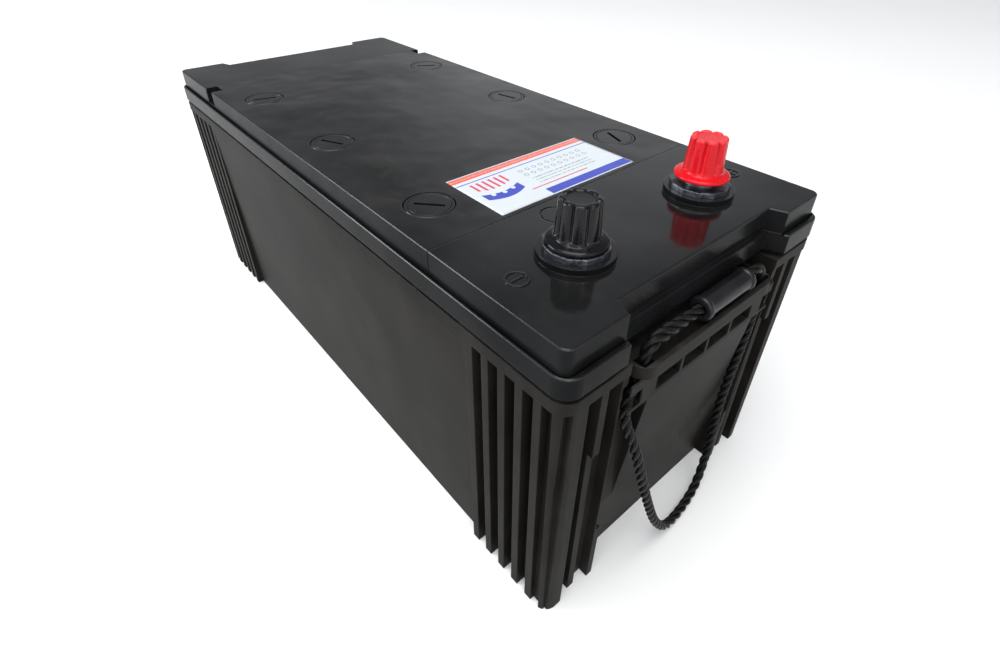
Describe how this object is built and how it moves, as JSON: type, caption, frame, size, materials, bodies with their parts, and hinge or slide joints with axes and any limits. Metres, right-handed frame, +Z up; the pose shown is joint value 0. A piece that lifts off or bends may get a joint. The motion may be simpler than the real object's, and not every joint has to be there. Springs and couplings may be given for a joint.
{
  "type": "deep cycle battery",
  "caption": "Rectangular flooded deep cycle battery: ribbed black case, lid with flush vent plugs, capped round terminals and a rope handle with a sleeve at each end.",
  "frame": {"origin": "centre of the case's base, on the surface it stands on", "axes": "+X along the length towards the terminals, +Z up, +Y across the width towards the positive terminal"},
  "size_m": [0.5372, 0.222, 0.2445],
  "materials": {
    "case_plastic": "satin black polypropylene",
    "lid_plastic": "glossy black polypropylene",
    "cover_plastic": "glossy black polypropylene",
    "plug_plastic": "glossy black polypropylene",
    "porous_disc": "porous off-white",
    "label_film": "printed film",
    "seal_rubber": "satin",
    "lead": "dull cast lead",
    "cap_red": "soft red vinyl",
    "cap_black": "soft black vinyl",
    "positive_plate": "brown pasted plate",
    "negative_plate": "grey pasted plate",
    "separator_sheet": "thin porous sheet",
    "grip_plastic": "satin black",
    "rope_fibre": "twisted glossy black fibre"
  },
  "bodies": {
    "battery": {"case": "case_plastic", "lid": "lid_plastic", "vent_cover": "cover_plastic", "flame_arrestor_left": "porous_disc", "flame_arrestor_right": "porous_disc", "label": "label_film", "terminal_bushing_positive": "lead", "terminal_bushing_negative": "lead", "terminal_post_positive": "lead", "terminal_post_negative": "lead", "positive_plates_1": "positive_plate", "positive_plates_2": "positive_plate", "positive_plates_3": "positive_plate", "positive_plates_4": "positive_plate", "positive_plates_5": "positive_plate", "positive_plates_6": "positive_plate", "negative_plates_1": "negative_plate", "negative_plates_2": "negative_plate", "negative_plates_3": "negative_plate", "negative_plates_4": "negative_plate", "negative_plates_5": "negative_plate", "negative_plates_6": "negative_plate", "separators_1": "separator_sheet", "separators_2": "separator_sheet", "separators_3": "separator_sheet", "separators_4": "separator_sheet", "separators_5": "separator_sheet", "separators_6": "separator_sheet", "cell_link_1": "lead", "cell_link_2": "lead", "cell_link_3": "lead", "cell_link_4": "lead", "cell_link_5": "lead"},
    "seal_1": {"plug_seal_1": "seal_rubber"},
    "plug_1": {"vent_plug_1": "plug_plastic"},
    "seal_2": {"plug_seal_2": "seal_rubber"},
    "plug_2": {"vent_plug_2": "plug_plastic"},
    "seal_3": {"plug_seal_3": "seal_rubber"},
    "plug_3": {"vent_plug_3": "plug_plastic"},
    "seal_4": {"plug_seal_4": "seal_rubber"},
    "plug_4": {"vent_plug_4": "plug_plastic"},
    "seal_5": {"plug_seal_5": "seal_rubber"},
    "plug_5": {"vent_plug_5": "plug_plastic"},
    "seal_6": {"plug_seal_6": "seal_rubber"},
    "plug_6": {"vent_plug_6": "plug_plastic"},
    "cap_positive": {"terminal_cap_positive": "cap_red"},
    "cap_negative": {"terminal_cap_negative": "cap_black"},
    "rope_front": {"handle_rope_front": "rope_fibre", "rope_risers_front": "rope_fibre", "hanging_rope_front": "rope_fibre"},
    "grip_front": {"handle_grip_front": "grip_plastic"},
    "rope_rear": {"handle_rope_rear": "rope_fibre", "rope_risers_rear": "rope_fibre", "hanging_rope_rear": "rope_fibre"},
    "grip_rear": {"handle_grip_rear": "grip_plastic"}
  },
  "joints": [
    {"name": "plug_lift_1", "type": "slide", "parent": "battery", "child": "seal_1", "axis": [0, 0, 1], "range_m": [0, 0.006]},
    {"name": "plug_turn_1", "type": "hinge", "parent": "seal_1", "child": "plug_1", "pos_m": [0.115, -0.08, 0.2], "axis": [0, 0, 1], "range_deg": [0, 720]},
    {"name": "plug_lift_2", "type": "slide", "parent": "battery", "child": "seal_2", "axis": [0, 0, 1], "range_m": [0, 0.006]},
    {"name": "plug_turn_2", "type": "hinge", "parent": "seal_2", "child": "plug_2", "pos_m": [-0.002, -0.08, 0.2], "axis": [0, 0, 1], "range_deg": [0, 720]},
    {"name": "plug_lift_3", "type": "slide", "parent": "battery", "child": "seal_3", "axis": [0, 0, 1], "range_m": [0, 0.006]},
    {"name": "plug_turn_3", "type": "hinge", "parent": "seal_3", "child": "plug_3", "pos_m": [-0.121, -0.08, 0.2], "axis": [0, 0, 1], "range_deg": [0, 720]},
    {"name": "plug_lift_4", "type": "slide", "parent": "battery", "child": "seal_4", "axis": [0, 0, 1], "range_m": [0, 0.006]},
    {"name": "plug_turn_4", "type": "hinge", "parent": "seal_4", "child": "plug_4", "pos_m": [0.115, 0.08, 0.2], "axis": [0, 0, 1], "range_deg": [0, 720]},
    {"name": "plug_lift_5", "type": "slide", "parent": "battery", "child": "seal_5", "axis": [0, 0, 1], "range_m": [0, 0.006]},
    {"name": "plug_turn_5", "type": "hinge", "parent": "seal_5", "child": "plug_5", "pos_m": [-0.002, 0.08, 0.2], "axis": [0, 0, 1], "range_deg": [0, 720]},
    {"name": "plug_lift_6", "type": "slide", "parent": "battery", "child": "seal_6", "axis": [0, 0, 1], "range_m": [0, 0.006]},
    {"name": "plug_turn_6", "type": "hinge", "parent": "seal_6", "child": "plug_6", "pos_m": [-0.121, 0.08, 0.2], "axis": [0, 0, 1], "range_deg": [0, 720]},
    {"name": "cap_pull_positive", "type": "slide", "parent": "battery", "child": "cap_positive", "axis": [0, 0, 1], "range_m": [0, 0.03]},
    {"name": "cap_pull_negative", "type": "slide", "parent": "battery", "child": "cap_negative", "axis": [0, 0, 1], "range_m": [0, 0.03]},
    {"name": "handle_lift_front", "type": "slide", "parent": "battery", "child": "rope_front", "axis": [0, 0, 1], "range_m": [0, 0.085], "deforming": ["rope_risers_front", "hanging_rope_front"]},
    {"name": "grip_roll_front", "type": "hinge", "parent": "rope_front", "child": "grip_front", "pos_m": [0.251, 0.0125, 0.182], "axis": [0, 1, 0], "continuous": true},
    {"name": "handle_lift_rear", "type": "slide", "parent": "battery", "child": "rope_rear", "axis": [0, 0, 1], "range_m": [0, 0.085], "deforming": ["rope_risers_rear", "hanging_rope_rear"]},
    {"name": "grip_roll_rear", "type": "hinge", "parent": "rope_rear", "child": "grip_rear", "pos_m": [-0.251, -0.0125, 0.182], "axis": [0, 1, 0], "continuous": true}
  ],
  "couplings": [
    {"joint": "plug_lift_1", "follows": "plug_turn_1", "m_per_rad": 0.0004775},
    {"joint": "plug_lift_2", "follows": "plug_turn_2", "m_per_rad": 0.0004775},
    {"joint": "plug_lift_3", "follows": "plug_turn_3", "m_per_rad": 0.0004775},
    {"joint": "plug_lift_4", "follows": "plug_turn_4", "m_per_rad": 0.0004775},
    {"joint": "plug_lift_5", "follows": "plug_turn_5", "m_per_rad": 0.0004775},
    {"joint": "plug_lift_6", "follows": "plug_turn_6", "m_per_rad": 0.0004775}
  ]
}
